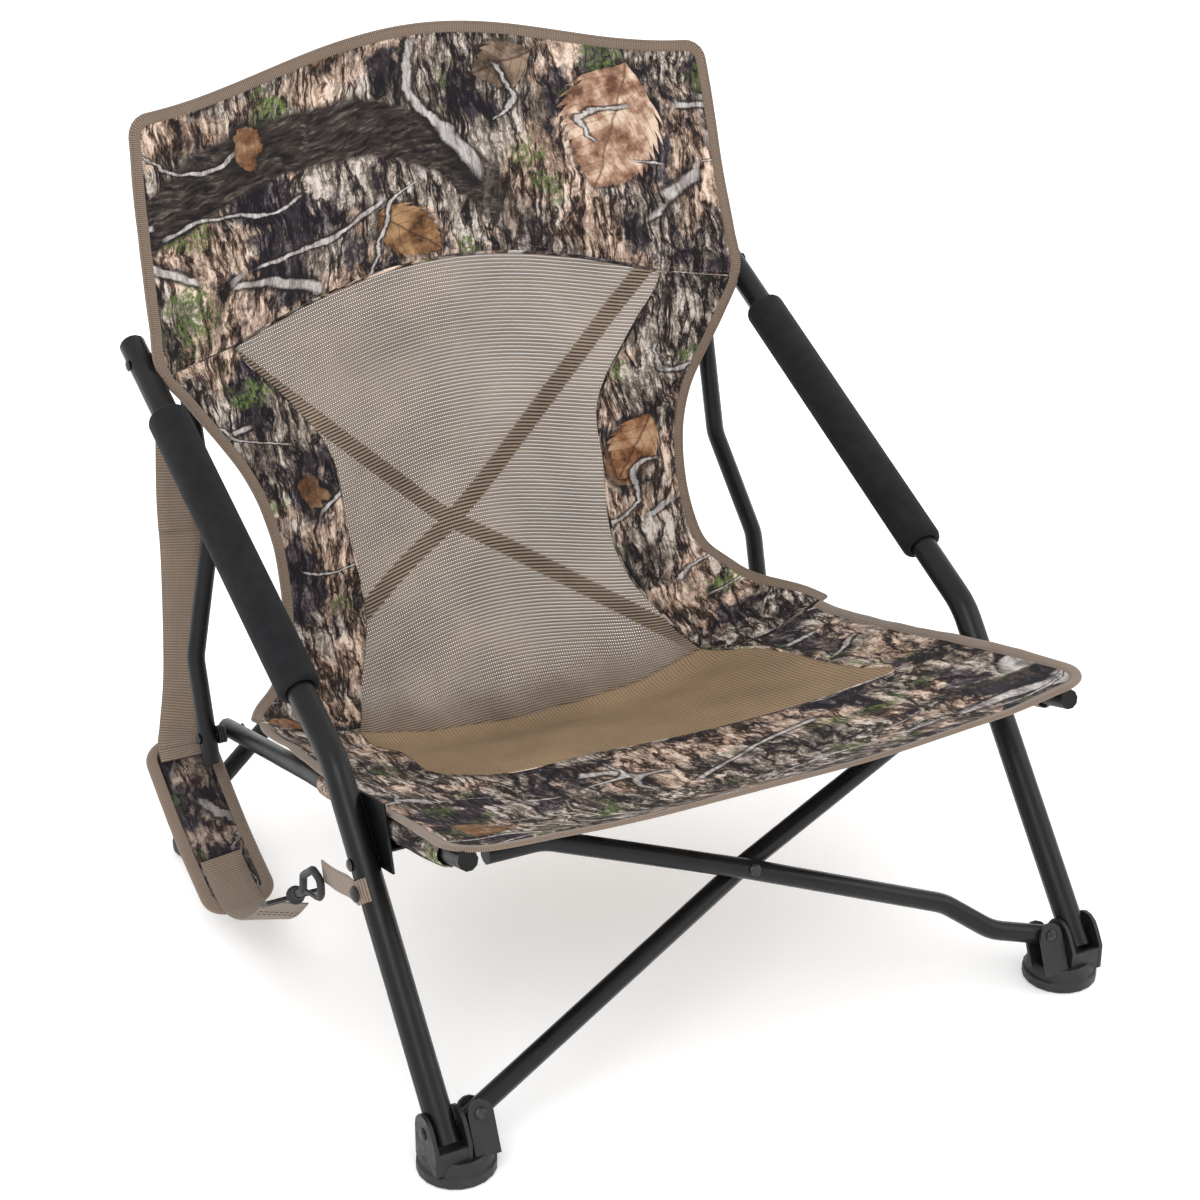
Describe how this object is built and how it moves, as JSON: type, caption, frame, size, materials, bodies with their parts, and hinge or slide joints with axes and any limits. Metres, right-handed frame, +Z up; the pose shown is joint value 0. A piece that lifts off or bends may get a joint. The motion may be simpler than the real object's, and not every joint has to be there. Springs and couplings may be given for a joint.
{
  "type": "folding field chair",
  "caption": "Low folding field chair with crossed front and rear tubes, foam arm grips, a one-piece fabric sling with mesh middle and a clip-on carrying strap.",
  "frame": {"origin": "on the floor under the middle of the object's box; the chair's own middle plane is at x = 0.0113 m, because the carrying strap hangs outside the -X frame", "axes": "+Z up, -Y towards the front of the chair, +X towards the sitter's left"},
  "size_m": [0.6234, 0.6488, 0.6622],
  "materials": {
    "frame_paint": "satin black powder coat",
    "rivet_steel": "blackened rivets and wire",
    "moulded_black": "moulded black",
    "grip_foam": "closed-cell foam",
    "sling_mesh": "open polyester mesh and printed cloth",
    "sling_print": "printed woodland cloth",
    "strap_web": "woven webbing"
  },
  "bodies": {
    "left_side": {"arm_tube_left": "frame_paint", "arm_grip_left": "grip_foam", "arm_cap_left": "moulded_black", "back_upright_left": "frame_paint", "arm_spacer_left": "moulded_black", "arm_pivot_pin_left": "rivet_steel", "rail_saddle_left": "frame_paint", "saddle_pin_left": "rivet_steel", "front_foot_left": "moulded_black", "foot_pin_left": "rivet_steel", "clevis_pin_left": "rivet_steel", "rear_top_pin_left": "rivet_steel", "back_sling": "sling_mesh", "strap_ring": "rivet_steel", "strap_upper": "strap_web", "strap_pad": "sling_print", "strap_lower": "strap_web", "strap_slider": "moulded_black", "hook_swivel": "moulded_black", "strap_tab": "strap_web", "tab_stud": "moulded_black"},
    "right_side": {"arm_tube_right": "frame_paint", "arm_grip_right": "grip_foam", "arm_cap_right": "moulded_black", "back_upright_right": "frame_paint", "arm_spacer_right": "moulded_black", "arm_pivot_pin_right": "rivet_steel", "rail_saddle_right": "frame_paint", "saddle_pin_right": "rivet_steel", "front_foot_right": "moulded_black", "foot_pin_right": "rivet_steel", "clevis_pin_right": "rivet_steel", "rear_top_pin_right": "rivet_steel"},
    "left_rail": {"seat_rail_left": "frame_paint", "rail_spacer_left": "moulded_black", "rail_pivot_pin_left": "rivet_steel", "seat_sling": "sling_mesh"},
    "right_rail": {"seat_rail_right": "frame_paint", "rail_spacer_right": "moulded_black", "rail_pivot_pin_right": "rivet_steel"},
    "front_cross_a": {"front_cross_straight": "frame_paint", "front_cross_pin": "rivet_steel"},
    "front_cross_b": {"front_cross_offset": "frame_paint"},
    "rear_cross_a": {"rear_cross_pinned": "frame_paint", "rear_cross_pin": "rivet_steel"},
    "rear_cross_b": {"rear_cross_free": "frame_paint"},
    "rear_foot_right": {"rear_foot_right": "moulded_black", "rear_foot_pin_right": "rivet_steel"},
    "rear_foot_left": {"rear_foot_left": "moulded_black", "rear_foot_pin_left": "rivet_steel"},
    "snap_hook": {"snap_hook": "moulded_black"},
    "hook_gate": {"hook_gate": "moulded_black"}
  },
  "joints": [
    {"name": "fold", "type": "hinge", "parent": "left_side", "child": "front_cross_a", "pos_m": [-0.242, -0.2914, 0.0414], "axis": [0, -0.9177, 0.3972], "range_deg": [0, 45], "deforming": ["back_sling", "seat_sling"]},
    {"name": "front_scissor", "type": "hinge", "parent": "front_cross_a", "child": "front_cross_b", "pos_m": [0.0113, -0.2444, 0.15], "axis": [0, -0.9177, 0.3972], "range_deg": [-90, 0]},
    {"name": "right_side_fold", "type": "hinge", "parent": "front_cross_b", "child": "right_side", "pos_m": [0.2646, -0.2914, 0.0414], "axis": [0, -0.9177, 0.3972], "range_deg": [0, 45]},
    {"name": "left_rail_lift", "type": "hinge", "parent": "left_side", "child": "left_rail", "pos_m": [-0.2387, 0.1896, 0.124], "axis": [-1, 0, 0], "range_deg": [0, 43]},
    {"name": "right_rail_lift", "type": "hinge", "parent": "right_side", "child": "right_rail", "pos_m": [0.2613, 0.1896, 0.124], "axis": [-1, 0, 0], "range_deg": [0, 43]},
    {"name": "rear_fold", "type": "hinge", "parent": "left_side", "child": "rear_cross_a", "pos_m": [-0.2337, 0.2988, 0.47], "axis": [0, 1, 0], "range_deg": [0, 31]},
    {"name": "rear_scissor", "type": "hinge", "parent": "rear_cross_a", "child": "rear_cross_b", "pos_m": [0.0113, 0.2906, 0.23], "axis": [0, 1, 0], "range_deg": [-62, 0]},
    {"name": "rear_foot_right_level", "type": "hinge", "parent": "rear_cross_a", "child": "rear_foot_right", "pos_m": [0.2838, 0.2204, 0.0452], "axis": [0, 1, 0], "range_deg": [-31, 0]},
    {"name": "rear_foot_left_level", "type": "hinge", "parent": "rear_cross_b", "child": "rear_foot_left", "pos_m": [-0.2612, 0.2204, 0.0452], "axis": [0, 1, 0], "range_deg": [0, 31]},
    {"name": "hook_turn", "type": "hinge", "parent": "left_side", "child": "snap_hook", "pos_m": [-0.2887, -0.0704, 0.117], "axis": [0, -0.7871, 0.6169], "range_deg": [-90, 90]},
    {"name": "gate_open", "type": "hinge", "parent": "snap_hook", "child": "hook_gate", "pos_m": [-0.2887, -0.09517, 0.13451], "axis": [-1, 0, 0], "range_deg": [-25, 0]}
  ],
  "couplings": [
    {"joint": "front_scissor", "follows": "fold", "ratio": -2},
    {"joint": "right_side_fold", "follows": "fold", "ratio": 1},
    {"joint": "left_rail_lift", "follows": "fold", "ratio": 0.95},
    {"joint": "right_rail_lift", "follows": "fold", "ratio": 0.95},
    {"joint": "rear_fold", "follows": "fold", "ratio": 0.687},
    {"joint": "rear_scissor", "follows": "fold", "ratio": -1.374},
    {"joint": "rear_foot_right_level", "follows": "fold", "ratio": -0.687},
    {"joint": "rear_foot_left_level", "follows": "fold", "ratio": 0.687}
  ]
}
